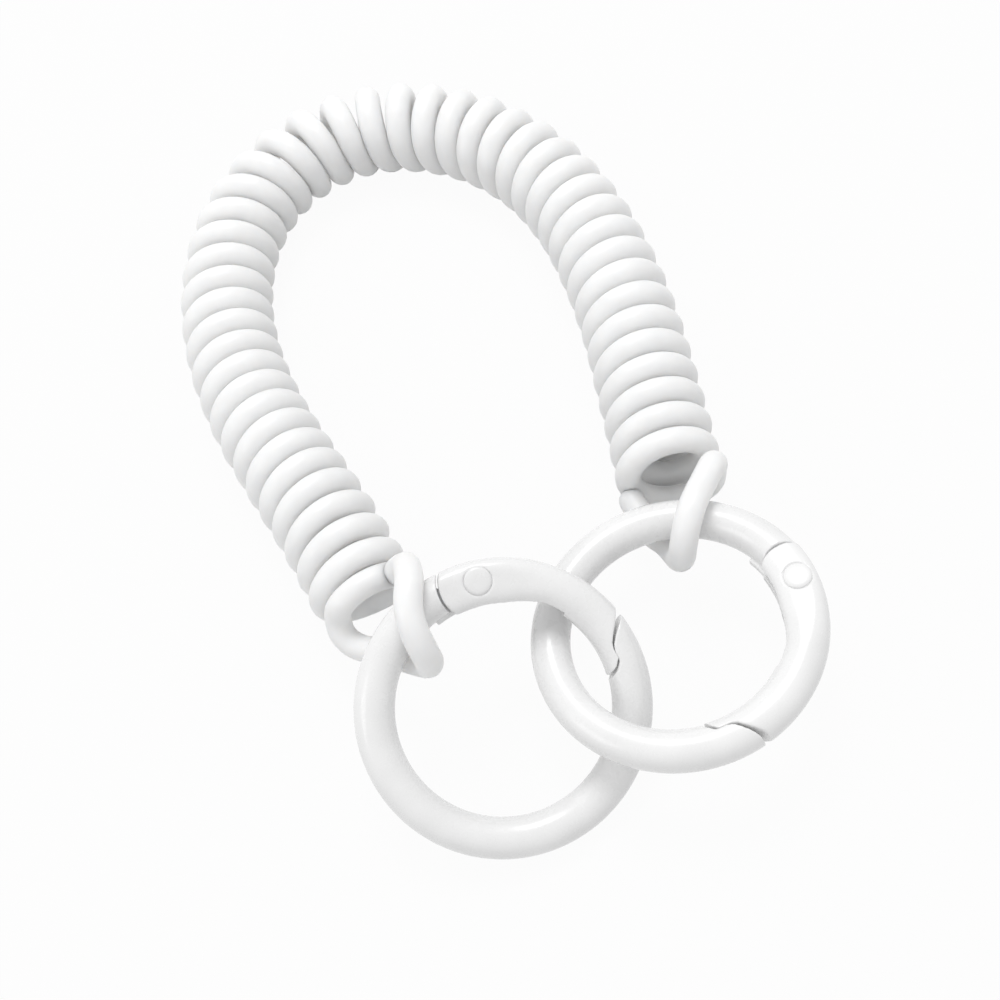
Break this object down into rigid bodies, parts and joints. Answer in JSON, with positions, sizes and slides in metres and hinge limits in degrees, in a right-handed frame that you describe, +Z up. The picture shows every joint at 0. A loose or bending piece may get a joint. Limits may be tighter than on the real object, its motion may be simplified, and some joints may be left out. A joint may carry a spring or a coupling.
{
  "type": "coiled key lanyard",
  "caption": "Arched coil of soft white cord with an end loop round each of two linked spring-gate rings, for carrying keys.",
  "frame": {"origin": "centre of the footprint of the two linked rings, on the table that the lanyard lies on", "axes": "+Z up from the table, +X from the left ring to the right ring, +Y from the rings towards the crown of the coil's arch"},
  "size_m": [0.0694, 0.1295, 0.0243],
  "materials": {
    "coiled_cord": "smooth, soft white plastic",
    "ring": "gloss white coating on cast metal",
    "rivet": "gloss white coating on steel",
    "gate_spring": "drawn spring wire"
  },
  "bodies": {
    "lanyard": {"coiled_cord": "coiled_cord"},
    "left_ring": {"left_ring_body": "ring", "left_rivet": "rivet", "left_gate_spring": "gate_spring"},
    "left_gate": {"left_gate": "ring"},
    "right_ring": {"right_ring_body": "ring", "right_rivet": "rivet", "right_gate_spring": "gate_spring"},
    "right_gate": {"right_gate": "ring"}
  },
  "joints": [
    {"name": "left_ring_spin", "type": "hinge", "parent": "lanyard", "child": "left_ring", "pos_m": [-0.011, -0.0015, 0.0104], "axis": [0.0783, -0.5241, 0.848], "range_deg": [-180, 60]},
    {"name": "left_gate_hinge", "type": "hinge", "parent": "left_ring", "child": "left_gate", "pos_m": [-0.00884, 0.0113, 0.01811], "axis": [-0.0783, 0.5241, -0.848], "range_deg": [0, 6], "stiffness_Nm_per_rad": 0.05, "springref_deg": -20.05},
    {"name": "right_ring_spin", "type": "hinge", "parent": "lanyard", "child": "right_ring", "pos_m": [0.011, 0, 0.01085], "axis": [-0.0709, 0.0768, 0.9945], "range_deg": [-10, 60]},
    {"name": "right_gate_hinge", "type": "hinge", "parent": "right_ring", "child": "right_gate", "pos_m": [0.02603, -0.00079, 0.01198], "axis": [0.0709, -0.0768, -0.9945], "range_deg": [0, 25], "stiffness_Nm_per_rad": 0.05, "springref_deg": -20.05}
  ]
}
